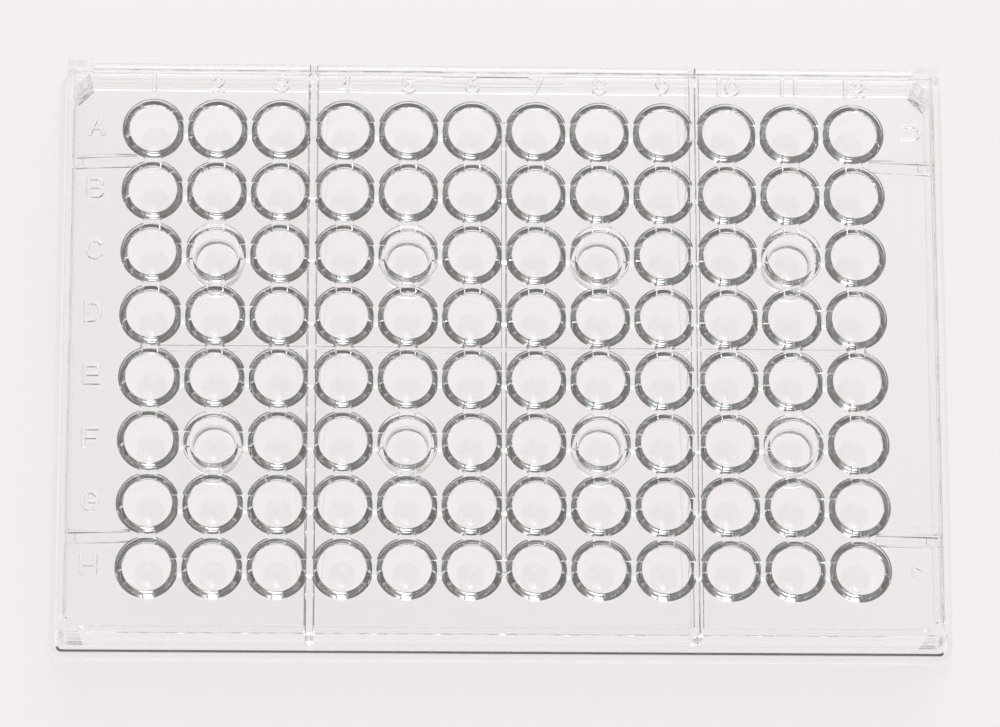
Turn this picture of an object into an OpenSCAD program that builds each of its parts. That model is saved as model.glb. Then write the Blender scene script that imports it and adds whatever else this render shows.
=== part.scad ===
// Multi-well plate with round-bottom wells, moulded in one piece from clear
// polystyrene: a thin deck hung in a border wall, wells below the deck, and a
// base flange that stands on the table.
// Z = 0 is the table. The footprint is centred on the origin, rows run along X,
// and row A is the one furthest towards +Y.

/* [Base flange] */
// Length of the footprint, along X
base_l = 127.3; // [125:0.1:132]
// Width of the footprint, along Y
base_w = 85.4; // [84:0.1:90]
// Height of the base flange
flange_h = 2.6; // [2.3:0.1:4]
// How far the flange stands out from the border wall
flange_step = 1.95; // [1.7:0.05:2.6]
// Wall of the flange
flange_t = 1.05; // [0.8:0.05:1.3]
// Radius along the upper outer edge of the flange
flange_edge_r = 1; // [0.3:0.1:1.2]
// Radius along the lower outer edge, which stands on the table
base_edge_r = 0.3; // [0.1:0.05:0.5]
// Fillet in the hollow under the flange
flange_lip_r = 0.9; // [0.3:0.05:0.95]

/* [Border wall] */
// Height of the border's top edge above the table
border_h = 13.4; // [12.9:0.1:16]
// Thickness of the border wall
border_t = 0.95; // [0.7:0.05:1.4]
// Plan radius of the border's outer corners
border_corner_r = 0.35; // [0.2:0.05:0.6]
// Rounding where the border's inner face turns out into the flange
border_foot_r = 0.85; // [0.3:0.05:0.9]
// Radius along both top edges of the border
border_top_r = 0.2; // [0.1:0.05:0.3]
// Fillet where the border meets the deck and the flange
root_r = 0.25; // [0.1:0.05:0.4]

/* [Well grid] */
// Wells in each row
columns = 12; // [4:1:12]
// Rows of wells
rows = 8; // [4:1:8]
// Distance from one well to the next, both ways
pitch = 9; // [8.8:0.05:9.2]

/* [Wells] */
// Height of the well rims above the table
rim_z = 12.5; // [12:0.1:12.8]
// Outside diameter of a rim at its foot on the deck
rim_d = 8.9; // [8.6:0.05:8.95]
// How far a rim's outside leans in, from its foot to its top
rim_lean = 0.4; // [0.2:0.05:0.5]
// How far the rims and links stand above the deck
rim_rise = 0.5; // [0.2:0.05:0.6]
// Outside diameter of a well's neck, just under the deck
neck_d = 8.25; // [8.1:0.05:8.4]
// Inside diameter at the mouth
mouth_d = 6.75; // [6:0.05:7]
// Inside diameter where the round bottom starts
shoulder_d = 5.9; // [5.4:0.05:6]
// Depth below the rim at which the round bottom starts
shoulder_depth = 6; // [4:0.1:6.6]
// Wall of a well
well_t = 0.65; // [0.5:0.05:0.75]
// Width at the foot of the raised links that join neighbouring rims
link_w = 3.4; // [2.4:0.1:3.8]
// How far each side of a link leans in, from its foot to its top
link_lean = 0.6; // [0.2:0.1:0.8]

/* [Deck] */
// Thickness of the deck
deck_t = 1; // [0.8:0.05:1.3]
// Length of the bare pad beside the last column, along Y
pad_l = 50.4; // [30:0.1:52]
// Width of the bare pad, from the border inwards
pad_w = 3.9; // [2:0.1:5]
// How far the pad stands above the deck
pad_rise = 0.15; // [0.1:0.05:0.25]

/* [Ribs under the deck] */
// Thickness of the two full-height cross ribs
cross_rib_t = 1.15; // [0.8:0.05:1.3]
// Well gaps between each end of the plate and a cross rib
cross_rib_gap = 3; // [2:1:4]
// Clearance of the cross ribs and the corner blocks above the table
rib_clear = 1.3; // [0.6:0.1:2]
// Thickness of the two shallow centre ribs
centre_rib_t = 0.7; // [0.5:0.05:0.75]
// Drop of the centre ribs below the deck
centre_rib_drop = 2.5; // [1:0.1:5]
// Distance of the lengthwise centre rib from the middle, towards row A
centre_rib_offset = 0.2; // [0:0.05:0.2]
// Fillet along the root of a rib
rib_root_r = 0.3; // [0.1:0.05:0.35]
// Radius along the two lower edges of a rib
rib_foot_r = 0.2; // [0.1:0.05:0.2]

/* [End gussets] */
// Thickness of the gussets that tie the deck to the short walls
gusset_t = 1.4; // [1:0.1:1.8]
// Drop of a gusset below the deck's top at the border
gusset_drop = 3.8; // [3:0.1:6]
// Drop of a gusset below the deck's top at its inner end
gusset_tip_drop = 1.75; // [1.6:0.05:2.5]
// Length of a gusset, from the border inwards
gusset_l = 8.9; // [6:0.1:9.5]
// Fillet along the root of a gusset
gusset_root_r = 0.45; // [0.2:0.05:0.5]

/* [Corners and back wall] */
// Leg of the 45 degree block in each inside corner
corner_leg = 2.1; // [1.5:0.1:2.6]
// Height of the stacking lugs above the border
lug_h = 1.1; // [0.6:0.1:1.6]
// Length of a stacking lug along the long wall
lug_l = 3.8; // [3:0.1:6]
// Length of a stacking lug along the short wall
lug_return = 2.2; // [1.8:0.1:4]
// Length of the slope at each end of a lug
lug_slope = 0.8; // [0.4:0.1:1.2]
// Length of the thicker panel in the middle of the back wall
panel_l = 17.6; // [10:0.1:24]
// How much thicker than the border the panel is
panel_t = 0.3; // [0.2:0.05:0.5]

/* [Support collars] */
// Outside diameter of the collars round eight of the wells
collar_d = 7.8; // [7.7:0.05:8]
// Depth of a collar's foot below the rim
collar_depth = 7.2; // [6.8:0.1:8]

/* [Hidden] */
$fn = 48;
clear_plastic = [0.9, 0.93, 0.94, 0.45];
lap = 0.3;
deck_z = rim_z - rim_rise;
deck_under_z = deck_z - deck_t;
deck_middle_z = deck_z - deck_t / 2;
shoulder_z = rim_z - shoulder_depth;
base_corner_r = border_corner_r + flange_step;
flange_under_z = flange_h - flange_t;
lip_r = min(flange_lip_r, flange_step + border_t - flange_t - border_foot_r);
inner_l = base_l - 2 * (flange_step + border_t);
inner_w = base_w - 2 * (flange_step + border_t);
corner_x = base_l / 2 - base_corner_r;
corner_y = base_w / 2 - base_corner_r;
grid_l = (columns - 1) * pitch;
grid_w = (rows - 1) * pitch;
cross_rib_x = grid_l / 2 - (cross_rib_gap - 0.5) * pitch;
gusset_y = grid_w / 2 - pitch / 2;
collar_columns = [1, 4, 7, 10];
collar_rows = [2, 5];

function column_x(column) = column * pitch - grid_l / 2;
function row_y(row) = grid_w / 2 - row * pitch;

module at_each_well() {
    for (column = [0 : columns - 1], row = [0 : rows - 1])
        translate([column_x(column), row_y(row), 0]) children();
}

// What a round of some radius leaves over in a square corner at the origin.
// Added to an inside corner it is a fillet, and cut from an edge it rounds it.
module corner_piece(radius) {
    difference() {
        translate([-lap, -lap]) square(radius + lap);
        translate([radius, radius]) circle(r = radius);
    }
}

// Section through the border and the flange. Its X axis runs outwards from the
// centre of the corner radii, and its Y axis is height above the table.
module perimeter_section() {
    inner_x = border_corner_r - border_t;
    hollow_x = base_corner_r - flange_t;
    difference() {
        union() {
            translate([inner_x, flange_under_z])
                square([border_t, border_h - flange_under_z]);
            translate([inner_x, flange_under_z])
                square([base_corner_r - inner_x, flange_t]);
            translate([hollow_x, 0]) square([flange_t, flange_h]);
            translate([hollow_x, flange_under_z]) rotate(180) corner_piece(lip_r);
            translate([border_corner_r, flange_h]) corner_piece(root_r);
            translate([inner_x, deck_z]) mirror([1, 0]) corner_piece(root_r);
            translate([inner_x, deck_under_z]) rotate(180) corner_piece(root_r);
        }
        translate([inner_x, flange_under_z]) corner_piece(border_foot_r);
        translate([inner_x, border_h]) mirror([0, 1]) corner_piece(border_top_r);
        translate([border_corner_r, border_h]) rotate(180) corner_piece(border_top_r);
        translate([base_corner_r, flange_h]) rotate(180) corner_piece(flange_edge_r);
        translate([base_corner_r, 0]) mirror([1, 0]) corner_piece(base_edge_r);
    }
}

module long_side() {
    translate([-corner_x, corner_y, 0]) rotate([90, 0, 90])
        linear_extrude(height = 2 * corner_x) perimeter_section();
}

module short_side() {
    translate([corner_x, corner_y, 0]) rotate([90, 0, 0])
        linear_extrude(height = 2 * corner_y) perimeter_section();
}

module corner() {
    translate([corner_x, corner_y, 0])
        rotate_extrude(angle = 90)
            intersection() {
                perimeter_section();
                square([base_corner_r + lap, border_h + lap]);
            }
}

module perimeter() {
    long_side();
    mirror([0, 1, 0]) long_side();
    short_side();
    mirror([1, 0, 0]) short_side();
    at_each_corner() corner();
}

module at_each_corner() {
    for (flip_x = [0, 1], flip_y = [0, 1])
        mirror([flip_x, 0, 0]) mirror([0, flip_y, 0]) children();
}

module deck() {
    translate([-inner_l / 2 - lap, -inner_w / 2 - lap, deck_under_z])
        cube([inner_l + 2 * lap, inner_w + 2 * lap, deck_t]);
}

// A well's outside, with its rim, as a section for revolving.
module well_body_section() {
    shoulder_r = shoulder_d / 2 + well_t;
    polygon([
        [0, shoulder_z], [shoulder_r, shoulder_z],
        [neck_d / 2, deck_under_z], [neck_d / 2, deck_middle_z],
        [rim_d / 2, deck_middle_z], [rim_d / 2, deck_z],
        [rim_d / 2 - rim_lean, rim_z], [0, rim_z]
    ]);
    round_bottom_section(shoulder_r);
}

// A well's inside, as a section for revolving.
module well_bore_section() {
    taper = (mouth_d - shoulder_d) / 2 / shoulder_depth;
    polygon([
        [0, shoulder_z], [shoulder_d / 2, shoulder_z],
        [mouth_d / 2 + taper * lap, rim_z + lap], [0, rim_z + lap]
    ]);
    round_bottom_section(shoulder_d / 2);
}

// Quarter disc that closes a well below its shoulder.
module round_bottom_section(radius) {
    translate([0, shoulder_z])
        intersection() {
            circle(r = radius);
            translate([0, -radius]) square(radius);
        }
}

// Section across a link, flat on top and leaning in from its foot.
module link_section() {
    foot_x = link_w / 2;
    top_x = foot_x - link_lean;
    polygon([
        [-foot_x, deck_middle_z], [foot_x, deck_middle_z], [foot_x, deck_z],
        [top_x, rim_z], [-top_x, rim_z], [-foot_x, deck_z]
    ]);
}

module rim_links() {
    for (row = [0 : rows - 1])
        translate([-grid_l / 2, row_y(row), 0]) rotate([90, 0, 90])
            linear_extrude(height = grid_l) link_section();
    for (column = [0 : columns - 1])
        translate([column_x(column), grid_w / 2, 0]) rotate([90, 0, 0])
            linear_extrude(height = grid_w) link_section();
}

module collars() {
    for (column = collar_columns, row = collar_rows)
        translate([column_x(column), row_y(row), rim_z - collar_depth])
            cylinder(d = collar_d, h = deck_middle_z - rim_z + collar_depth);
}

// Section across a web that hangs from the deck, with a fillet on each side.
module web_section(thickness, foot_z, fillet_r) {
    translate([-thickness / 2, foot_z]) square([thickness, deck_middle_z - foot_z]);
    for (side = [0, 1])
        mirror([side, 0]) translate([thickness / 2, deck_under_z])
            mirror([0, 1]) corner_piece(fillet_r);
}

// Section across a rib: a web with its two lower edges rounded.
module rib_section(thickness, foot_z) {
    difference() {
        web_section(thickness, foot_z, rib_root_r);
        for (side = [0, 1])
            mirror([side, 0]) translate([thickness / 2, foot_z])
                mirror([1, 0]) corner_piece(rib_foot_r);
    }
}

module cross_ribs() {
    for (side = [-1, 1])
        translate([side * cross_rib_x, inner_w / 2 + lap, 0]) rotate([90, 0, 0])
            linear_extrude(height = inner_w + 2 * lap) rib_section(cross_rib_t, rib_clear);
}

module centre_ribs() {
    foot_z = deck_under_z - centre_rib_drop;
    translate([0, grid_w / 2, 0]) rotate([90, 0, 0])
        linear_extrude(height = grid_w) rib_section(centre_rib_t, foot_z);
    translate([-grid_l / 2, centre_rib_offset, 0]) rotate([90, 0, 90])
        linear_extrude(height = grid_l) rib_section(centre_rib_t, foot_z);
}

module gusset() {
    outer_x = inner_l / 2 + lap;
    tip_x = inner_l / 2 - gusset_l;
    half_w = gusset_t / 2 + gusset_root_r + lap;
    intersection() {
        translate([tip_x, gusset_y, 0]) rotate([90, 0, 90])
            linear_extrude(height = outer_x - tip_x)
                web_section(gusset_t, deck_z - gusset_drop, gusset_root_r);
        translate([0, gusset_y + half_w, 0]) rotate([90, 0, 0])
            linear_extrude(height = 2 * half_w)
                polygon([
                    [tip_x, deck_middle_z], [tip_x, deck_z - gusset_tip_drop],
                    [inner_l / 2, deck_z - gusset_drop], [outer_x, deck_z - gusset_drop],
                    [outer_x, deck_middle_z]
                ]);
    }
}

module corner_block() {
    translate([inner_l / 2, inner_w / 2, rib_clear])
        linear_extrude(height = deck_middle_z - rib_clear)
            polygon([
                [lap, lap], [lap, -corner_leg], [0, -corner_leg],
                [-corner_leg, 0], [-corner_leg, lap]
            ]);
}

// Upright lug on one wall, sloped at the end that faces along the wall.
module lug_arm(length) {
    translate([0, border_t, 0]) rotate([90, 0, 0])
        linear_extrude(height = border_t)
            polygon([
                [0, -lap], [length, -lap], [length, 0],
                [length - lug_slope, lug_h], [0, lug_h]
            ]);
}

// Plan of a border corner, with its round outside and room for both arms.
module lug_plan() {
    reach = lug_l + lug_return;
    circle(r = border_corner_r);
    translate([-reach, -reach]) square([reach, reach + border_corner_r]);
    translate([-reach, -reach]) square([reach + border_corner_r, reach]);
}

module stacking_lug() {
    outer_x = base_l / 2 - flange_step;
    outer_y = base_w / 2 - flange_step;
    intersection() {
        union() {
            translate([outer_x, outer_y - border_t, border_h])
                mirror([1, 0, 0]) lug_arm(lug_l);
            translate([outer_x - border_t, outer_y, border_h])
                rotate([0, 0, -90]) lug_arm(lug_return);
        }
        translate([corner_x, corner_y, 0])
            linear_extrude(height = border_h + lug_h + lap) lug_plan();
    }
}

module back_panel() {
    translate([-panel_l / 2, inner_w / 2 - panel_t, flange_h])
        cube([panel_l, panel_t + lap, deck_middle_z - flange_h]);
}

module margin_pad() {
    translate([inner_l / 2 - pad_w, -pad_l / 2, deck_middle_z])
        cube([pad_w + lap, pad_l, deck_z + pad_rise - deck_middle_z]);
}

module well_plate() {
    color(clear_plastic)
        difference() {
            union() {
                perimeter();
                deck();
                margin_pad();
                rim_links();
                at_each_well() rotate_extrude() well_body_section();
                collars();
                cross_ribs();
                centre_ribs();
                for (side = [0, 1], end = [0, 1])
                    mirror([side, 0, 0]) mirror([0, end, 0]) gusset();
                at_each_corner() {
                    corner_block();
                    stacking_lug();
                }
                back_panel();
            }
            at_each_well() rotate_extrude() well_bore_section();
        }
}

well_plate();
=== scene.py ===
# %% [markdown]
# # A clear round-bottom well plate
# The real plate is one shot of clear polystyrene. A deck hangs inside a border
# wall, ninety-six wells hang below the deck, and a low flange round the foot of
# the border stands on the bench. Nothing on it is painted: every line that the
# eye sees is an edge that bends light. So this lesson spends its effort on one
# clean, closed mesh and on a room for it to bend, and very little on colour.

# %% Load the frame
from math import cos, pi, radians, sin, tan

import bmesh
import bpy
from mathutils import Matrix, Vector


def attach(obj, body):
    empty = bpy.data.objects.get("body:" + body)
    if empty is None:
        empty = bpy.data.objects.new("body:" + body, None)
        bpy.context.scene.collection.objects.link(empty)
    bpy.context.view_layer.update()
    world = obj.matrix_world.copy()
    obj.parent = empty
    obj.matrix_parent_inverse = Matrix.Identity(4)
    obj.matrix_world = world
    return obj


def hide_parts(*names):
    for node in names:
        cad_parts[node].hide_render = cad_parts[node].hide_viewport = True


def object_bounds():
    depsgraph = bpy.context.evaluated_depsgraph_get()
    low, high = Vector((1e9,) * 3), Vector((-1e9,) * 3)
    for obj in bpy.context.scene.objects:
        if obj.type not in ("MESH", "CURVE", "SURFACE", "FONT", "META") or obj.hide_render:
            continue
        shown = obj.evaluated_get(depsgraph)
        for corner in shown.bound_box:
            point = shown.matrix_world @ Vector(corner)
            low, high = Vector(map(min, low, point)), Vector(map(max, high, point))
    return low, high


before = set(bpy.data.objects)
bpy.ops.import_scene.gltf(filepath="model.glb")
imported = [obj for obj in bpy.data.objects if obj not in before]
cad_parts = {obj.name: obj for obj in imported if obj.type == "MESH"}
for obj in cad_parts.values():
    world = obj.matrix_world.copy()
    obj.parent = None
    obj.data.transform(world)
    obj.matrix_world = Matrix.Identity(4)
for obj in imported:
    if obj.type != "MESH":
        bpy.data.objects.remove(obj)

cad_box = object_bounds()
MM = 0.001
print("nodes:", sorted(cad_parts))

# %% [markdown]
# ## The camera
# The plate is seen nearly from above, from a little in front and to the left,
# with a long lens. A long lens keeps the well rows almost parallel, and the small
# tilt is what shows the inside of the back wall and hides that of the front wall.

# %% Camera
CAMERA_PLACE = Vector((-21.8, -153.4, 653.2)) * MM
CAMERA_TURN = (radians(13.26), radians(-1.89), radians(-0.02))
CAMERA_LENS, CAMERA_SENSOR, CAMERA_NEAR = 169.5, 36.0, 0.01

camera_data = bpy.data.cameras.new("camera")
camera_data.lens = CAMERA_LENS
camera_data.sensor_width = CAMERA_SENSOR
camera_data.clip_start = CAMERA_NEAR
camera = bpy.data.objects.new("camera", camera_data)
camera.location = CAMERA_PLACE
camera.rotation_euler = CAMERA_TURN
bpy.context.scene.collection.objects.link(camera)
bpy.context.scene.camera = camera
print("camera height:", round(CAMERA_PLACE.z / MM), "mm")

# %% [markdown]
# ## Sizes
# A mould maker's drawing gives a footprint, a pitch and a few walls, and the rest
# follows from them. The heights are above the bench. The footprint is read from
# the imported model, so the dressed plate can't drift away from the solid one.

# %% Sizes
FOOT_L = cad_box[1][0] - cad_box[0][0]
FOOT_W = cad_box[1][1] - cad_box[0][1]
FLANGE_H, FLANGE_STEP, FLANGE_T, FLANGE_EDGE_R = 2.6 * MM, 1.95 * MM, 1.05 * MM, 1.0 * MM
BORDER_H, BORDER_T, BORDER_CORNER_R, BORDER_FOOT_R = 13.4 * MM, 0.95 * MM, 0.35 * MM, 0.85 * MM
COLUMNS, ROWS, PITCH = 12, 8, 9.0 * MM
RIM_Z, RIM_RISE, DECK_T = 12.5 * MM, 0.5 * MM, 1.0 * MM
MOUTH_D, SHOULDER_D, SHOULDER_DEPTH, WELL_T = 6.85 * MM, 5.9 * MM, 6.0 * MM, 0.65 * MM
RIM_D, RIM_EDGE, NECK_D = 8.85 * MM, 0.3 * MM, 8.42 * MM
LINK_W, LINK_EDGE, LINK_RISE = 2.9 * MM, 0.45 * MM, 0.65 * MM

DECK_Z = RIM_Z - RIM_RISE
DECK_UNDER_Z = DECK_Z - DECK_T
DECK_MIDDLE_Z = DECK_UNDER_Z + DECK_T / 2
SHOULDER_Z = RIM_Z - SHOULDER_DEPTH
FLANGE_UNDER_Z = FLANGE_H - FLANGE_T
INNER_L = FOOT_L - 2 * (FLANGE_STEP + BORDER_T)
INNER_W = FOOT_W - 2 * (FLANGE_STEP + BORDER_T)
GRID_L, GRID_W = (COLUMNS - 1) * PITCH, (ROWS - 1) * PITCH
BORDER_TOP_R, ROOT_R, BASE_EDGE_R = 0.2 * MM, 0.25 * MM, 0.3 * MM
LIP_W, LIP_SLOPE = 0.32 * MM, radians(46.5)
LAP, MERGE_DISTANCE = 0.3 * MM, 0.001 * MM
print("inside the border:", round(INNER_L / MM, 2), "x", round(INNER_W / MM, 2), "mm")


def column_x(column):
    """Middle of a column, counted from 0 at the left."""
    return column * PITCH - GRID_L / 2


def row_y(row):
    """Middle of a row, counted from 0 at the back."""
    return GRID_W / 2 - row * PITCH


# %% [markdown]
# ## Tools of the bench
# Each piece of the moulding starts as a small closed solid of its own, made with
# bmesh operators. They are then welded with the boolean modifier, because clear
# plastic shows any wall that is left inside it. The solids in one tool never
# overlap each other, which the quick boolean solver asks for.

# %% Helpers for solids
def finish_bmesh(bm, name):
    """Turn a bmesh into an object of the scene, with its faces outwards."""
    bmesh.ops.recalc_face_normals(bm, faces=bm.faces)
    mesh = bpy.data.meshes.new(name)
    bm.to_mesh(mesh)
    bm.free()
    obj = bpy.data.objects.new(name, mesh)
    bpy.context.scene.collection.objects.link(obj)
    return obj


def add_block(bm, low, high):
    """Add a closed box between two corners."""
    low, high = Vector(low), Vector(high)
    made = bmesh.ops.create_cube(bm, size=1.0)["verts"]
    bmesh.ops.scale(bm, vec=high - low, verts=made)
    bmesh.ops.translate(bm, vec=(low + high) / 2, verts=made)


def combine(target, tool, operation):
    """Weld a tool onto the target, or cut it out, and throw the tool away."""
    modifier = target.modifiers.new(operation.title(), "BOOLEAN")
    modifier.operation = operation
    modifier.solver = "MANIFOLD"
    modifier.object = tool
    with bpy.context.temp_override(object=target, active_object=target):
        bpy.ops.object.modifier_apply(modifier=modifier.name)
    bpy.data.objects.remove(tool)


def extrude_outline(bm, corners, direction):
    """Make a closed prism from a flat outline."""
    face = bm.faces.new([bm.verts.new(corner) for corner in corners])
    side = bmesh.ops.extrude_face_region(bm, geom=[face])
    moved = [part for part in side["geom"] if isinstance(part, bmesh.types.BMVert)]
    bmesh.ops.translate(bm, vec=direction, verts=moved)


def add_loft(bm, first, second):
    """Make a closed solid between two flat outlines with as many corners each."""
    ends = [bm.faces.new([bm.verts.new(corner) for corner in outline])
            for outline in (first, second)]
    rims = [edge for end in ends for edge in end.edges]
    bmesh.ops.bridge_loops(bm, edges=rims)


# %% [markdown]
# ## The tray
# The border, the flange and the deck are one tray, the same all the way round. So
# it is drawn as one path across the wall: out along the top of the deck, up and
# over the border, out and down the flange, and back under to the deck. Each bend
# gets its radius, because on clear plastic a round edge is what draws a line. Every
# point of the path then becomes a level ring, a rectangle with round corners, and
# each ring is joined to the next by four-sided faces. They are laid one by one: the
# bridge operator twists between rings that are level with each other. Two last
# faces close the deck.

# %% Tray
CORNER_STEPS, INNER_CORNER_R = 8, 0.1 * MM
WALL_IN, WALL_OUT = FLANGE_STEP + BORDER_T, FLANGE_STEP


def rounded_path(corners):
    """Points of a path with round bends, from corners as (inset, height, radius, steps)."""
    points = []
    for before, corner, after in zip(corners, corners[1:], corners[2:]):
        place, radius, steps = Vector(corner[:2]), corner[2], corner[3]
        back = (Vector(before[:2]) - place).normalized() * radius
        ahead = (Vector(after[:2]) - place).normalized() * radius
        for i in range(steps + 1):
            turn = radians(90) * i / max(steps, 1)
            points.append(place + back * (1 - sin(turn)) + ahead * (1 - cos(turn)))
    return points


def add_ring(bm, inset, height):
    """Add the vertices of a level rectangle with round corners, set in from the footprint."""
    radius = max(BORDER_CORNER_R + FLANGE_STEP - inset, INNER_CORNER_R)
    x, y = FOOT_L / 2 - inset - radius, FOOT_W / 2 - inset - radius
    verts = []
    for quarter, (side_x, side_y) in enumerate(((1, 1), (-1, 1), (-1, -1), (1, -1))):
        for i in range(CORNER_STEPS + 1):
            turn = radians(90) * (quarter + i / CORNER_STEPS)
            place = (side_x * x + radius * cos(turn), side_y * y + radius * sin(turn), height)
            verts.append(bm.verts.new(place))
    return verts


def make_tray():
    """The border, the flange and the deck. A bend of radius 0 is a sharp corner."""
    deck_inset = FOOT_W / 4
    bends = [(deck_inset, DECK_Z),
             (WALL_IN, DECK_Z, ROOT_R, 4), (WALL_IN, BORDER_H, BORDER_TOP_R, 3),
             (WALL_OUT, BORDER_H, BORDER_TOP_R, 3), (WALL_OUT, FLANGE_H, ROOT_R, 4),
             (0, FLANGE_H, FLANGE_EDGE_R, 8), (0, 0, BASE_EDGE_R, 5),
             (FLANGE_T, 0, 0, 0), (FLANGE_T, FLANGE_UNDER_Z - LIP_W * tan(LIP_SLOPE), 0, 0),
             (FLANGE_T + LIP_W, FLANGE_UNDER_Z, 0, 0),
             (WALL_IN, FLANGE_UNDER_Z, BORDER_FOOT_R, 6), (WALL_IN, DECK_UNDER_Z, ROOT_R, 4),
             (deck_inset, DECK_UNDER_Z)]
    bm = bmesh.new()
    rings = [add_ring(bm, inset, height) for inset, height in rounded_path(bends)]
    for ring, next_ring in zip(rings, rings[1:]):
        for i in range(len(ring)):
            bm.faces.new((ring[i - 1], ring[i], next_ring[i], next_ring[i - 1]))
    for deck_edge in (rings[0], rings[-1]):
        bm.faces.new(deck_edge)
    return finish_bmesh(bm, "tray")


tray = make_tray()
print("tray:", len(tray.data.polygons), "faces")

# %% [markdown]
# ## The wells
# A well is a round shell: a short rim, a wall that tapers in a little so that the
# core pulls out of it, and a half-round bottom. Outside and inside are each spun
# from a profile of a few points, and set down at every place of the grid. The
# outsides are welded to the tray now, and the insides are kept for the last cut.

# %% Wells
WELL_STEPS = 40
BOTTOM_STEPS = 6
BORE_OVERSHOOT = 1.0 * MM


def arc(centre_z, radius):
    """Points of a quarter circle, from the axis at the bottom out to the side."""
    turns = [pi / 2 * i / BOTTOM_STEPS for i in range(BOTTOM_STEPS + 1)]
    return [(radius * sin(turn), centre_z - radius * cos(turn)) for turn in turns]


def spin_solid(points):
    """Spin a profile of (radius, height) points round Z into a closed solid."""
    bm = bmesh.new()
    verts = [bm.verts.new((radius, 0, height)) for radius, height in points]
    edges = [bm.edges.new(pair) for pair in zip(verts, verts[1:])]
    bmesh.ops.spin(bm, geom=verts + edges, cent=(0, 0, 0), axis=(0, 0, 1), dvec=(0, 0, 0),
                   angle=2 * pi, steps=WELL_STEPS, use_merge=True, use_duplicate=False)
    bmesh.ops.remove_doubles(bm, verts=bm.verts, dist=MERGE_DISTANCE)
    bmesh.ops.recalc_face_normals(bm, faces=bm.faces)
    mesh = bpy.data.meshes.new("spun")
    bm.to_mesh(mesh)
    bm.free()
    return mesh


def grid_of(mesh, places, name):
    """One object that holds a copy of the mesh at each place."""
    bm = bmesh.new()
    for place in places:
        mesh_copy = mesh.copy()
        mesh_copy.transform(Matrix.Translation(place))
        bm.from_mesh(mesh_copy)
        bpy.data.meshes.remove(mesh_copy)
    return finish_bmesh(bm, name)


def soft_step(across, rise, steps=3):
    """A rounded step, from its foot to its top, as half a wave of a cosine."""
    return [(across * i / steps, rise * (1 - cos(pi * i / steps)) / 2) for i in range(steps + 1)]


def well_outside():
    """Profile of a well's outside: the bottom, the taper to the neck, and the rim."""
    edge = [(RIM_D / 2 - across, DECK_Z + up) for across, up in soft_step(RIM_EDGE, RIM_RISE)]
    neck = [(NECK_D / 2, DECK_UNDER_Z), (NECK_D / 2, DECK_MIDDLE_Z), (RIM_D / 2, DECK_MIDDLE_Z)]
    return arc(SHOULDER_Z, SHOULDER_D / 2 + WELL_T) + neck + edge + [(0, RIM_Z)]


def well_inside():
    """Profile of a well's inside, whose taper runs on a little above the rim."""
    shoulder_r, mouth_r, top = SHOULDER_D / 2, MOUTH_D / 2, RIM_Z + BORE_OVERSHOOT
    top_r = mouth_r + (mouth_r - shoulder_r) * BORE_OVERSHOOT / SHOULDER_DEPTH
    return arc(SHOULDER_Z, shoulder_r) + [(mouth_r, RIM_Z), (top_r, top), (0, top)]


well_places = [Vector((column_x(c), row_y(r), 0)) for r in range(ROWS) for c in range(COLUMNS)]
wells = grid_of(spin_solid(well_outside()), well_places, "wells")
bores = grid_of(spin_solid(well_inside()), well_places, "bores")
combine(tray, wells, "UNION")
print("wells:", len(well_places), "at", PITCH / MM, "mm")

# %% [markdown]
# ## Links between the rims
# Neighbouring rims are joined by short raised bars, which let the plastic run
# across the deck while it fills the mould. A bar along each row and one along
# each column give all of them. They stand a hair proud of the rims and run to the
# mouths: there light gets out of a rim sideways, and its dark ring breaks.

# %% Links
def link_section(place, along):
    """Corners of one link bar's end: flat on top, rounded down to the deck."""
    side = [(LINK_W / 2 - across, DECK_Z + up) for across, up in soft_step(LINK_EDGE, LINK_RISE)]
    half = [(LINK_W / 2, DECK_Z - LAP)] + side
    both = half + [(-across, height) for across, height in reversed(half)]
    return [(along, place + across, height) for across, height in both]


def add_links(plate):
    """Rows first and columns after, so that the bars of one tool never cross."""
    bm = bmesh.new()
    for row in range(ROWS):
        extrude_outline(bm, link_section(row_y(row), -GRID_L / 2), (GRID_L, 0, 0))
    combine(plate, finish_bmesh(bm, "row links"), "UNION")
    bm = bmesh.new()
    for column in range(COLUMNS):
        outline = [(y, x, z) for x, y, z in link_section(column_x(column), -GRID_W / 2)]
        extrude_outline(bm, outline, (0, GRID_W, 0))
    combine(plate, finish_bmesh(bm, "column links"), "UNION")


add_links(tray)
print("with links:", len(tray.data.polygons), "faces")

# %% [markdown]
# ## Ribs, collars and gussets
# Under the deck the plate is stiffened. Two ribs nearly as deep as the border cross
# it between wells, two shallow ones mark its middle, four gussets tie the short
# walls to the deck, and eight wells wear a collar that the ejector pushes on.

# %% Ribs
CROSS_RIB_T, RIB_CLEAR, CROSS_RIB_GAP = 1.15 * MM, 1.3 * MM, 3
CROSS_RIB_X = GRID_L / 2 - (CROSS_RIB_GAP - 0.5) * PITCH
CENTRE_RIB_T, CENTRE_RIB_DROP, CENTRE_RIB_OFFSET = 0.7 * MM, 2.5 * MM, 0.2 * MM
ROOT_FLARE, CENTRE_ROOT_FLARE, GUSSET_ROOT_FLARE = 0.3 * MM, 0.1 * MM, 0.5 * MM
RIB_FOOT_R = 0.2 * MM
COLLAR_D, COLLAR_DEPTH = 7.55 * MM, 7.2 * MM
COLLAR_COLUMNS, COLLAR_ROWS = (1, 4, 7, 10), (2, 5)
GUSSET_T, GUSSET_L, GUSSET_DROP, GUSSET_TIP_DROP = 1.4 * MM, 8.9 * MM, 3.8 * MM, 1.75 * MM


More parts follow.
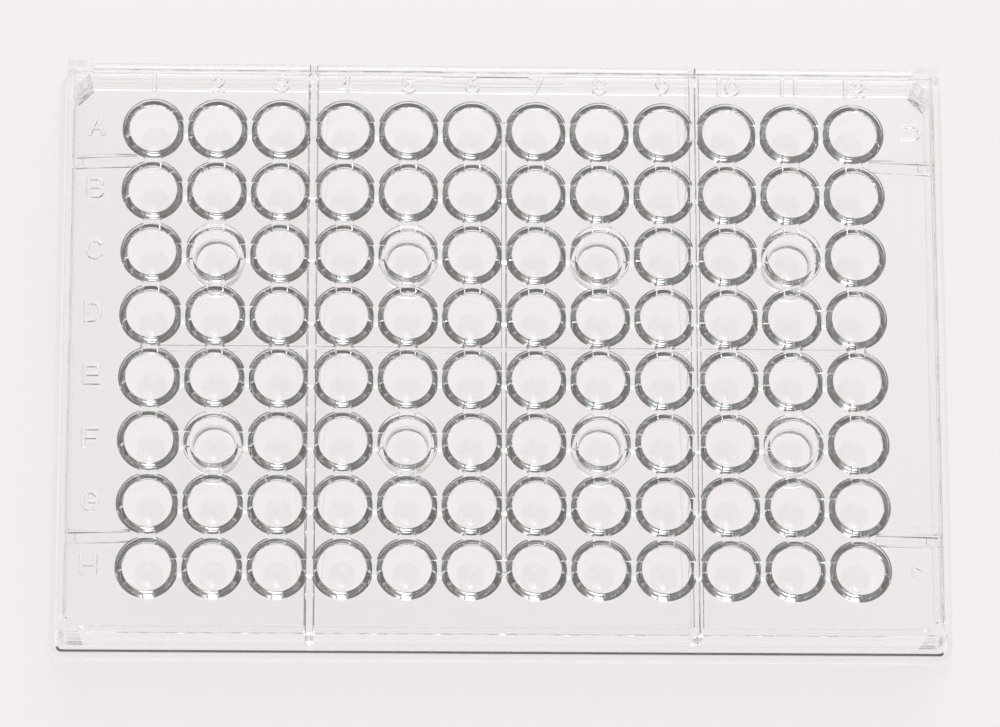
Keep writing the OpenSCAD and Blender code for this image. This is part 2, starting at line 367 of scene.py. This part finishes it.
def rib_outline(thickness, low, flare=ROOT_FLARE, steps=3):
    """A rib's section: a rounded foot, and a root that flares out at the deck."""
    turn = [radians(90) * i / steps for i in range(steps + 1)]
    half = thickness / 2
    foot = [(half - RIB_FOOT_R * (1 - sin(t)), low + RIB_FOOT_R * (1 - cos(t))) for t in turn]
    root = [(half + flare * (1 - cos(t)), DECK_UNDER_Z - flare * (1 - sin(t))) for t in turn]
    right = foot + root + [(half + flare, DECK_MIDDLE_Z)]
    return right + [(-across, height) for across, height in reversed(right)]


def add_ribs(plate):
    """The three ribs that cross the plate, then the shallow one that runs along it."""
    bm = bmesh.new()
    deep = rib_outline(CROSS_RIB_T, RIB_CLEAR)
    for x in (-CROSS_RIB_X, CROSS_RIB_X):
        corners = [(x + across, -INNER_W / 2 - LAP, z) for across, z in deep]
        extrude_outline(bm, corners, (0, INNER_W + 2 * LAP, 0))
    shallow = rib_outline(CENTRE_RIB_T, DECK_UNDER_Z - CENTRE_RIB_DROP, CENTRE_ROOT_FLARE)
    extrude_outline(bm, [(across, -GRID_W / 2, z) for across, z in shallow], (0, GRID_W, 0))
    combine(plate, finish_bmesh(bm, "cross ribs"), "UNION")
    bm = bmesh.new()
    corners = [(-GRID_L / 2, CENTRE_RIB_OFFSET + across, z) for across, z in shallow]
    extrude_outline(bm, corners, (GRID_L, 0, 0))
    combine(plate, finish_bmesh(bm, "long rib"), "UNION")


def add_collars(plate):
    """A thicker outside, down to a flat foot, on eight of the wells."""
    radius, foot, top = COLLAR_D / 2, RIM_Z - COLLAR_DEPTH, DECK_MIDDLE_Z
    collar = spin_solid([(0, foot), (radius, foot), (radius, top), (0, top)])
    places = [Vector((column_x(c), row_y(r), 0)) for c in COLLAR_COLUMNS for r in COLLAR_ROWS]
    combine(plate, grid_of(collar, places, "collars"), "UNION")


def add_gussets(plate):
    """Four ribs that are deep at a short wall and shallow at the wells."""
    bm = bmesh.new()
    wall_end = rib_outline(GUSSET_T, DECK_Z - GUSSET_DROP, GUSSET_ROOT_FLARE)
    tip_end = rib_outline(GUSSET_T, DECK_Z - GUSSET_TIP_DROP, GUSSET_ROOT_FLARE)
    for side in (-1, 1):
        for end in (-1, 1):
            y = end * (GRID_W / 2 - PITCH / 2)
            wall_x, tip_x = side * (INNER_L / 2 + LAP), side * (INNER_L / 2 - GUSSET_L)
            add_loft(bm, [(tip_x, y + across, z) for across, z in tip_end],
                     [(wall_x, y + across, z) for across, z in wall_end])
    combine(plate, finish_bmesh(bm, "gussets"), "UNION")


add_ribs(tray)
add_collars(tray)
add_gussets(tray)
print("with ribs:", len(tray.data.polygons), "faces")

# %% [markdown]
# ## Corners, back panel and pad
# Each inside corner has a block with a face at 45 degrees, and each corner of
# the border carries a low lug with sloped ends, which keeps a stacked plate in
# place. Below the deck the back wall is a little thicker in its middle. A bare pad
# lies beside the last column.

# %% Corners and pads
CORNER_LEG = 2.1 * MM
LUG_H, LUG_L, LUG_RETURN, LUG_SLOPE = 1.1 * MM, 3.8 * MM, 2.2 * MM, 0.8 * MM
PANEL_L, PANEL_T, PANEL_FOOT_Z = 17.6 * MM, 0.3 * MM, FLANGE_H + 4 * MM
PAD_L, PAD_W, PAD_RISE = 50.4 * MM, 3.9 * MM, 0.15 * MM


def lug_arm(length):
    """Side view of a lug's arm, as (distance from the corner, height above the border)."""
    return [(0, -LAP), (length, -LAP), (length, 0), (length - LUG_SLOPE, LUG_H), (0, LUG_H)]


def add_corners(plate):
    """A block inside each corner, and a lug with a long and a short arm on top of it."""
    blocks, long_arms, short_arms = bmesh.new(), bmesh.new(), bmesh.new()
    x, y = INNER_L / 2, INNER_W / 2
    out_x, out_y = FOOT_L / 2 - FLANGE_STEP, FOOT_W / 2 - FLANGE_STEP
    leg = CORNER_LEG
    plan = [(x + LAP, y + LAP), (x + LAP, y - leg), (x, y - leg), (x - leg, y), (x - leg, y + LAP)]
    rise = DECK_UNDER_Z + LAP - RIB_CLEAR
    for sx in (-1, 1):
        for sy in (-1, 1):
            corners = [(sx * px, sy * py, RIB_CLEAR) for px, py in plan]
            extrude_outline(blocks, corners, (0, 0, rise))
            corners = [(sx * (out_x - a), sy * out_y, BORDER_H + h) for a, h in lug_arm(LUG_L)]
            extrude_outline(long_arms, corners, (0, -sy * BORDER_T, 0))
            corners = [(sx * out_x, sy * (out_y - a), BORDER_H + h) for a, h in lug_arm(LUG_RETURN)]
            extrude_outline(short_arms, corners, (-sx * BORDER_T, 0, 0))
    combine(plate, finish_bmesh(blocks, "corner blocks"), "UNION")
    combine(plate, finish_bmesh(long_arms, "long lug arms"), "UNION")
    combine(plate, finish_bmesh(short_arms, "short lug arms"), "UNION")


def add_pads(plate):
    """The thicker panel of the back wall, and the bare pad on the deck."""
    bm = bmesh.new()
    x, y = INNER_L / 2, INNER_W / 2
    add_block(bm, (-PANEL_L / 2, y - PANEL_T, PANEL_FOOT_Z), (PANEL_L / 2, y + LAP, DECK_MIDDLE_Z))
    add_block(bm, (x - PAD_W, -PAD_L / 2, DECK_MIDDLE_Z), (x + LAP, PAD_L / 2, DECK_Z + PAD_RISE))
    combine(plate, finish_bmesh(bm, "pads"), "UNION")


add_corners(tray)
add_pads(tray)
print("with corners and pads:", len(tray.data.polygons), "faces")

# %% [markdown]
# ## Letters and numbers
# The row letters and column numbers were cut into the mould with a small round
# cutter, so on the plate they are raised strokes of one width with steep sides.
# A font would give thick and thin stems, so each character is a few strokes: a
# curve carries a small section along each of them. Strokes of one character meet,
# and the boolean solver wants pieces that don't, so they are sorted into passes,
# and each pass is welded on before the next.

# %% Characters
STROKE_W, STROKE_RISE, STROKE_DRAFT, STROKE_EDGE = 0.42 * MM, 0.4 * MM, 0.09 * MM, 0.06 * MM
LETTER_SIZE, NUMBER_SIZE = (1.95 * MM, 2.5 * MM), (1.6 * MM, 2.05 * MM)
CAVITY_SIZE, DIGIT_PITCH = (1.4 * MM, 1.85 * MM), 1.9 * MM
EDGE_SOFTNESS, BOW_STEP_DEGREES = 0.3, 24
LETTER_X, LETTER_SHIFT = GRID_L / 2 + 8.06 * MM, 0.35 * MM
NUMBER_Y = GRID_W / 2 + 6.75 * MM
SINGLE_LETTER_X, CAVITY_X, CAVITY_SHIFT = LETTER_X + 0.2 * MM, LETTER_X + 0.3 * MM, 0.1 * MM


def bow(x, y, wide, high, start, end):
    """Points on part of an ellipse, from one angle to another, in degrees from the right."""
    steps = max(2, round(abs(end - start) / BOW_STEP_DEGREES))
    turns = [radians(start + (end - start) * i / steps) for i in range(steps + 1)]
    return [(x + wide * cos(turn), y + high * sin(turn)) for turn in turns]


# Each character is a list of passes, each pass a list of strokes, and each stroke
# a list of points in a box one unit wide and one high.
SPINE = [(-0.5, -0.5), (-0.5, 0.5)]
CHARACTERS = {
    "A": [[[(-0.5, -0.5), (0, 0.5)]], [[(0, 0.5), (0.5, -0.5)]], [[(-0.3, -0.15), (0.3, -0.15)]]],
    "B": [[SPINE],
          [[(-0.5, 0.5)] + bow(0.12, 0.26, 0.33, 0.24, 90, -90) + [(-0.5, 0.02)]],
          [bow(0.15, -0.24, 0.35, 0.26, 90, -90) + [(-0.5, -0.5)]]],
    "C": [[bow(0.05, 0, 0.55, 0.5, 40, 320)]],
    "D": [[SPINE], [[(-0.5, 0.5)] + bow(0, 0, 0.5, 0.5, 90, -90) + [(-0.5, -0.5)]]],
    "E": [[SPINE], [[(-0.5, y), (x, y)] for x, y in ((0.5, 0.5), (0.35, 0), (0.5, -0.5))]],
    "F": [[SPINE], [[(-0.5, y), (x, y)] for x, y in ((0.5, 0.5), (0.3, 0))]],
    "G": [[bow(0.05, 0, 0.55, 0.5, 40, 350)], [[(0.05, -0.05), (0.5, -0.05)]]],
    "H": [[SPINE, [(0.5, -0.5), (0.5, 0.5)]], [[(-0.5, 0), (0.5, 0)]]],
    "U": [[[(-0.5, 0.5)] + bow(0, -0.05, 0.5, 0.45, 180, 360) + [(0.5, 0.5)]]],
    "0": [[bow(0, 0, 0.5, 0.5, 90, 270)], [bow(0, 0, 0.5, 0.5, 90, -90)]],
    "1": [[[(0, -0.5), (0, 0.5)]]],
    "2": [[bow(0, 0.2, 0.45, 0.3, 170, -35) + [(-0.45, -0.5)]], [[(-0.45, -0.5), (0.5, -0.5)]]],
    "3": [[bow(0, 0.25, 0.4, 0.25, 150, -90)], [bow(0, -0.25, 0.45, 0.25, 90, -150)]],
    "4": [[[(0.2, -0.5), (0.2, 0.5)]], [[(-0.5, -0.2), (0.5, -0.2)]], [[(0.2, 0.5), (-0.5, -0.2)]]],
    "5": [[[(-0.35, 0.5), (-0.4, 0)]], [[(-0.35, 0.5), (0.4, 0.5)]],
          [bow(0, -0.18, 0.48, 0.32, 145, -145)]],
    "6": [[bow(0, -0.2, 0.45, 0.3, -90, 90)],
          [bow(0.3, -0.2, 0.75, 0.7, 95, 180) + bow(0, -0.2, 0.45, 0.3, 200, 270)],
          [bow(0, -0.2, 0.45, 0.3, 90, 160)]],
    "7": [[[(-0.5, 0.5), (0.5, 0.5)]], [[(0.5, 0.5), (-0.1, -0.5)]]],
    "8": [[bow(0, 0.26, 0.4, 0.24, 90, 270) + bow(0, -0.24, 0.48, 0.26, 90, -90)[1:]],
          [bow(0, 0.26, 0.4, 0.24, 90, -90) + bow(0, -0.24, 0.48, 0.26, 90, 270)[1:]]],
}
CHARACTERS["9"] = [[[(-x, -y) for x, y in stroke] for stroke in strokes]
                   for strokes in CHARACTERS["6"]]
PASSES = max(len(passes) for passes in CHARACTERS.values())


def poly_curve(name, points, closed=False):
    """A curve object that runs straight from point to point."""
    curve = bpy.data.curves.new(name, "CURVE")
    curve.dimensions = "3D"
    curve.twist_mode = "Z_UP"
    spline = curve.splines.new("POLY")
    spline.points.add(len(points) - 1)
    for point, place in zip(spline.points, points):
        point.co = (*place, 1)
    spline.use_cyclic_u = closed
    obj = bpy.data.objects.new(name, curve)
    bpy.context.scene.collection.objects.link(obj)
    return obj


def stroke_section():
    """A closed curve across a stroke: steep sides and softened top edges."""
    foot, top, edge = STROKE_W / 2 + STROKE_DRAFT, STROKE_W / 2, STROKE_EDGE
    soft = edge * EDGE_SOFTNESS
    right = [(foot, -LAP), (foot, 0), (top, STROKE_RISE - edge), (top - soft, STROKE_RISE - soft),
             (top - edge, STROKE_RISE)]
    both = right + [(-across, up) for across, up in reversed(right)]
    return poly_curve("stroke section", [(across, up, 0) for across, up in both], closed=True)


def add_stroke(bm, section, stroke):
    """Carry the section along one stroke, half a width past both of its ends."""
    points = [Vector((x, y, 0)) for x, y in stroke]
    points[0] += (points[0] - points[1]).normalized() * STROKE_W / 2
    points[-1] += (points[-1] - points[-2]).normalized() * STROKE_W / 2
    path = poly_curve("stroke", [point + Vector((0, 0, DECK_Z)) for point in points])
    path.data.bevel_mode = "OBJECT"
    path.data.bevel_object = section
    path.data.use_fill_caps = True
    depsgraph = bpy.context.evaluated_depsgraph_get()
    swept = bpy.data.meshes.new_from_object(path.evaluated_get(depsgraph))
    bm.from_mesh(swept)
    bpy.data.meshes.remove(swept)
    bpy.data.objects.remove(path)


def characters_of_plate():
    """Every character as (character, size, middle of its place, quarter turns)."""
    made = []
    for row, letter in enumerate("ABCDEFGH"):
        made.append((letter, LETTER_SIZE, (-LETTER_X, row_y(row) + LETTER_SHIFT), 0))
    for column in range(COLUMNS):
        digits = str(column + 1)
        for i, digit in enumerate(digits):
            x = column_x(column) + (i - (len(digits) - 1) / 2) * DIGIT_PITCH
            made.append((digit, NUMBER_SIZE, (x, NUMBER_Y), 0))
    made.append(("U", LETTER_SIZE, (SINGLE_LETTER_X, row_y(0) + LETTER_SHIFT), 1))
    made.append(("7", CAVITY_SIZE, (CAVITY_X, row_y(ROWS - 1) + CAVITY_SHIFT), 1))
    return made


def add_lettering(plate):
    """Weld all the strokes of the first pass on, then those of the second, and so on."""
    section = stroke_section()
    for number in range(PASSES):
        bm = bmesh.new()
        for character, (wide, high), (x, y), quarters in characters_of_plate():
            turn, passes = radians(90) * quarters, CHARACTERS[character]
            strokes = passes[number] if number < len(passes) else []
            for stroke in strokes:
                placed = [(x + px * wide * cos(turn) - py * high * sin(turn),
                           y + px * wide * sin(turn) + py * high * cos(turn)) for px, py in stroke]
                add_stroke(bm, section, placed)
        bmesh.ops.remove_doubles(bm, verts=bm.verts, dist=MERGE_DISTANCE)
        open_edges = sum(1 for edge in bm.edges if not edge.is_manifold)
        print("lettering pass", number + 1, len(bm.faces), "faces,", open_edges, "open edges")
        combine(plate, finish_bmesh(bm, "strokes"), "UNION")
    bpy.data.objects.remove(section)


add_lettering(tray)
print("characters:", len(characters_of_plate()))

# %% [markdown]
# ## The bores
# The insides of the wells are cut last, through everything that was welded on.

# %% Bores
combine(tray, bores, "DIFFERENCE")
plate = tray
plate.name = "clear_plate"
print("whole plate:", len(plate.data.polygons), "faces,",
      sum(len(p.vertices) - 2 for p in plate.data.polygons), "triangles")

# %% [markdown]
# ## Edges and shading
# Moulded plastic is smooth where it is round and flat where it is flat. Every
# face is shaded smooth, each edge that folds by more than a few degrees is marked
# sharp, and weighted normals keep the big flats truly flat. On clear plastic this
# matters more than on paint, because light is bent by the normals.

# %% Edge marks
SHARP_ANGLE = radians(24)
FLAT_WEIGHT = 80


def mark_edges(plate):
    """Shade smooth between the sharp edges, with normals that follow the large faces."""
    bm = bmesh.new()
    bm.from_mesh(plate.data)
    bmesh.ops.dissolve_degenerate(bm, dist=MERGE_DISTANCE / 2, edges=bm.edges)
    for face in bm.faces:
        face.smooth = True
    for edge in bm.edges:
        edge.smooth = edge.is_manifold and edge.calc_face_angle(0) < SHARP_ANGLE
    bm.to_mesh(plate.data)
    bm.free()
    weighted = plate.modifiers.new("flat faces stay flat", "WEIGHTED_NORMAL")
    weighted.keep_sharp = True
    weighted.mode = "FACE_AREA"
    weighted.weight = FLAT_WEIGHT


mark_edges(plate)
print("sharp edges:", sum(1 for e in plate.data.edges if e.use_edge_sharp))

# %% [markdown]
# ## Clear polystyrene
# Polystyrene is water-clear with an index of 1.59, higher than window glass, so
# its walls trap light and look dark from above. It isn't quite perfect: the melt
# cools in broad faint waves as it fills the mould, and handling leaves a breath
# of haze in patches. Both are noise on object coordinates, and both stay small.

# %% Plastic
CLEAR_TINT, FAINT_TINT = (1.0, 0.995, 0.985, 1), (0.99, 0.988, 0.98, 1)
POLYSTYRENE_IOR, NOISE_DETAIL = 1.59, 2.0
WAVES_PER_M, WAVE_STRETCH, WAVE_DEPTH = 60.0, (0.4, 1, 1), 0.001 * MM
HAZE_PER_M, HAZE_START, HAZE_FULL, DEEPEST_HAZE = 140.0, 0.55, 0.75, 0.012


def patches(tree, per_metre, stretch=(1, 1, 1)):
    """Soft noise from 0 to 1 in the plate's own coordinates."""
    place = tree.nodes.new("ShaderNodeMapping")
    place.inputs["Scale"].default_value = stretch
    noise = tree.nodes.new("ShaderNodeTexNoise")
    noise.inputs["Scale"].default_value = per_metre
    noise.inputs["Detail"].default_value = NOISE_DETAIL
    tree.links.new(tree.nodes.new("ShaderNodeTexCoord").outputs["Object"], place.inputs["Vector"])
    tree.links.new(place.outputs["Vector"], noise.inputs["Vector"])
    return noise.outputs["Fac"]


def clear_polystyrene():
    """Clear plastic with faint waves in its tint and surface, and faint patches of haze."""
    material = bpy.data.materials.new("clear_polystyrene")
    material.use_nodes = True
    tree = material.node_tree
    shader = tree.nodes["Principled BSDF"]
    shader.inputs["Transmission Weight"].default_value = 1.0
    shader.inputs["IOR"].default_value = POLYSTYRENE_IOR
    waves = patches(tree, WAVES_PER_M, WAVE_STRETCH)
    tint = tree.nodes.new("ShaderNodeMix")
    tint.data_type = "RGBA"
    tint.inputs["A"].default_value = CLEAR_TINT
    tint.inputs["B"].default_value = FAINT_TINT
    tree.links.new(waves, tint.inputs["Factor"])
    tree.links.new(tint.outputs["Result"], shader.inputs["Base Color"])
    haze = tree.nodes.new("ShaderNodeMapRange")
    haze.inputs["From Min"].default_value = HAZE_START
    haze.inputs["From Max"].default_value = HAZE_FULL
    haze.inputs["To Max"].default_value = DEEPEST_HAZE
    tree.links.new(patches(tree, HAZE_PER_M), haze.inputs["Value"])
    tree.links.new(haze.outputs["Result"], shader.inputs["Roughness"])
    bump = tree.nodes.new("ShaderNodeBump")
    bump.inputs["Distance"].default_value = WAVE_DEPTH
    tree.links.new(waves, bump.inputs["Height"])
    tree.links.new(bump.outputs["Normal"], shader.inputs["Normal"])
    return material


plate.data.materials.clear()
plate.data.materials.append(clear_polystyrene())
print("plastic:", plate.data.materials[0].name)

# %% [markdown]
# ## The room
# A ring of clear plastic works like a light pipe: what enters its rim runs down
# the wall, round the bottom and up the other side, and leaves towards the
# ceiling. So the ceiling is what colours the rings. The room is a dim grey one, a
# little darker in front, with a bright wide window behind the plate, halfway up,
# and three faint ones higher up. The bright window puts the glints on the rims. The
# room is a world shader that reads only the direction, and its windows have soft
# edges.

# %% Room
def link_dot(tree, direction_socket, axis):
    """How far a direction points along an axis, from -1 to 1."""
    node = tree.nodes.new("ShaderNodeVectorMath")
    node.operation = "DOT_PRODUCT"
    tree.links.new(direction_socket, node.inputs[0])
    node.inputs[1].default_value = Vector(axis).normalized()
    return node.outputs["Value"]


def link_ramp(tree, socket, start, end, low, high):
    """A soft ramp from low to high as the socket goes from start to end."""
    node = tree.nodes.new("ShaderNodeMapRange")
    node.interpolation_type = "SMOOTHSTEP"
    tree.links.new(socket, node.inputs["Value"])
    for name, value in (("From Min", start), ("From Max", end), ("To Min", low), ("To Max", high)):
        node.inputs[name].default_value = value
    return node.outputs["Result"]


def link_tint(tree, value, tint, light=None):
    """A value as tinted light, added to other light if there is some."""
    node = tree.nodes.new("ShaderNodeVectorMath")
    node.operation = "MULTIPLY_ADD"
    node.inputs[0].default_value = tint
    tree.links.new(value, node.inputs[1])
    if light:
        tree.links.new(light, node.inputs[2])
    return node.outputs["Vector"]


def link_math(tree, operation, first, second):
    """One step of arithmetic on two sockets, or on a socket and a number."""
    node = tree.nodes.new("ShaderNodeMath")
    node.operation = operation
    for socket, value in zip(node.inputs, (first, second)):
        if isinstance(value, float):
            socket.default_value = value
        else:
            tree.links.new(value, socket)
    return node.outputs[0]


ROOM_FRONT, ROOM_BACK = 0.14, 0.16
ROOM_TINT, WINDOW_TINT = (1.0, 0.98, 0.92), (0.93, 0.98, 1.04)
TOWARDS_BACK, FRONT_END, BACK_START = (0.25, 1.0, -0.3), -0.5, 0.3
# Each window: its direction, the angles where it fades out and is full, its strength
WINDOWS = [((0.1, 0.75, 0.65), 26, 12, 3.0), ((0.2, 0.42, 0.75), 24, 12, 0.5),
           ((-0.35, 0.05, 0.85), 7, 3, 0.3), ((0.5, -0.2, 0.8), 9, 5, 0.25)]


def grey_room():
    """Set the world up as grey walls and soft windows."""
    world = bpy.data.worlds.new("room")
    world.use_nodes = True
    tree = world.node_tree
    direction = tree.nodes.new("ShaderNodeTexCoord").outputs["Generated"]
    backwards = link_dot(tree, direction, TOWARDS_BACK)
    walls = link_ramp(tree, backwards, FRONT_END, BACK_START, ROOM_FRONT, ROOM_BACK)
    light = link_tint(tree, walls, ROOM_TINT)
    for axis, outer, inner, strength in WINDOWS:
        window = link_ramp(tree, link_dot(tree, direction, axis),
                           cos(radians(outer)), cos(radians(inner)), 0.0, strength)
        light = link_tint(tree, window, WINDOW_TINT, light)
    tree.links.new(light, tree.nodes["Background"].inputs["Color"])
    bpy.context.scene.world = world


grey_room()
bpy.context.scene.view_settings.view_transform = "Standard"
print("windows:", len(WINDOWS))

# %% [markdown]
# ## The bench
# The plate lies on white paper. Part of the paper's tone is a steady glow, which
# keeps the background pale, and part is lit by the room, so the plate still
# throws its faint shadow. Seen through the plastic, the glow is a painted pool of
# light: a little brighter than the bare paper in the middle, fading with distance.

# %% Bench
BENCH_SIZE = 1.5
POOL_START, POOL_END, POOL_EDGE = 0.09, 0.22, 0.25
DIRECT_GLOW, HALF_A_BOUNCE = 0.935, 0.5
GLOW_COLOUR, PAPER_COLOUR = (0.872, 0.834, 0.838, 1), (0.22, 0.22, 0.22, 1)


def bench_paper():
    """White paper with a glow of its own, up to the light's first bounce off a dull surface."""
    material = bpy.data.materials.new("bench_paper")
    material.use_nodes = True
    tree = material.node_tree
    nodes, links = tree.nodes, tree.links
    nodes.clear()
    distance = nodes.new("ShaderNodeVectorMath")
    distance.operation = "LENGTH"
    links.new(nodes.new("ShaderNodeTexCoord").outputs["Object"], distance.inputs[0])
    # Painted pool of light: paper seen through the plastic is brightest in the middle and fades
    # with distance.
    pool = link_ramp(tree, distance.outputs["Value"], POOL_START, POOL_END, 1.0, POOL_EDGE)
    path = nodes.new("ShaderNodeLightPath")
    seen_direct = link_math(tree, "MULTIPLY", path.outputs["Is Camera Ray"], DIRECT_GLOW)
    bent, mirrored = path.outputs["Is Transmission Ray"], path.outputs["Is Glossy Ray"]
    through = link_math(tree, "MAXIMUM", bent, mirrored)
    strength = link_math(tree, "MAXIMUM", seen_direct, link_math(tree, "MULTIPLY", through, pool))
    first_meeting = link_math(tree, "LESS_THAN", path.outputs["Diffuse Depth"], HALF_A_BOUNCE)
    strength = link_math(tree, "MULTIPLY", strength, first_meeting)
    glow = nodes.new("ShaderNodeEmission")
    glow.inputs["Color"].default_value = GLOW_COLOUR
    links.new(strength, glow.inputs["Strength"])
    paper = nodes.new("ShaderNodeBsdfDiffuse")
    paper.inputs["Color"].default_value = PAPER_COLOUR
    both = nodes.new("ShaderNodeAddShader")
    links.new(glow.outputs[0], both.inputs[0])
    links.new(paper.outputs[0], both.inputs[1])
    links.new(both.outputs[0], nodes.new("ShaderNodeOutputMaterial").inputs["Surface"])
    return material


bm = bmesh.new()
bmesh.ops.create_grid(bm, x_segments=1, y_segments=1, size=BENCH_SIZE)
bench = finish_bmesh(bm, "bench")
bench.data.materials.append(bench_paper())
print("bench:", round(bench.dimensions.x, 2), "m wide")

# %% [markdown]
# ## Light paths
# A ray that runs round a well meets its walls twenty times and more. The bounce
# limits are raised, or each ring would end in the black of a ray given up.

# %% Light paths
LONGEST_PATH = 32
cycles = bpy.context.scene.cycles
cycles.max_bounces = cycles.glossy_bounces = cycles.transmission_bounces = LONGEST_PATH
print("longest light path:", LONGEST_PATH, "bounces")

# %% [markdown]
# ## Hand over
# The mesh now stands in for the imported solid: it rides on the plate's one body,
# and takes the solid's place.

# %% Hand over
for piece in (plate,):
    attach(piece, "root")
    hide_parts("well_plate")
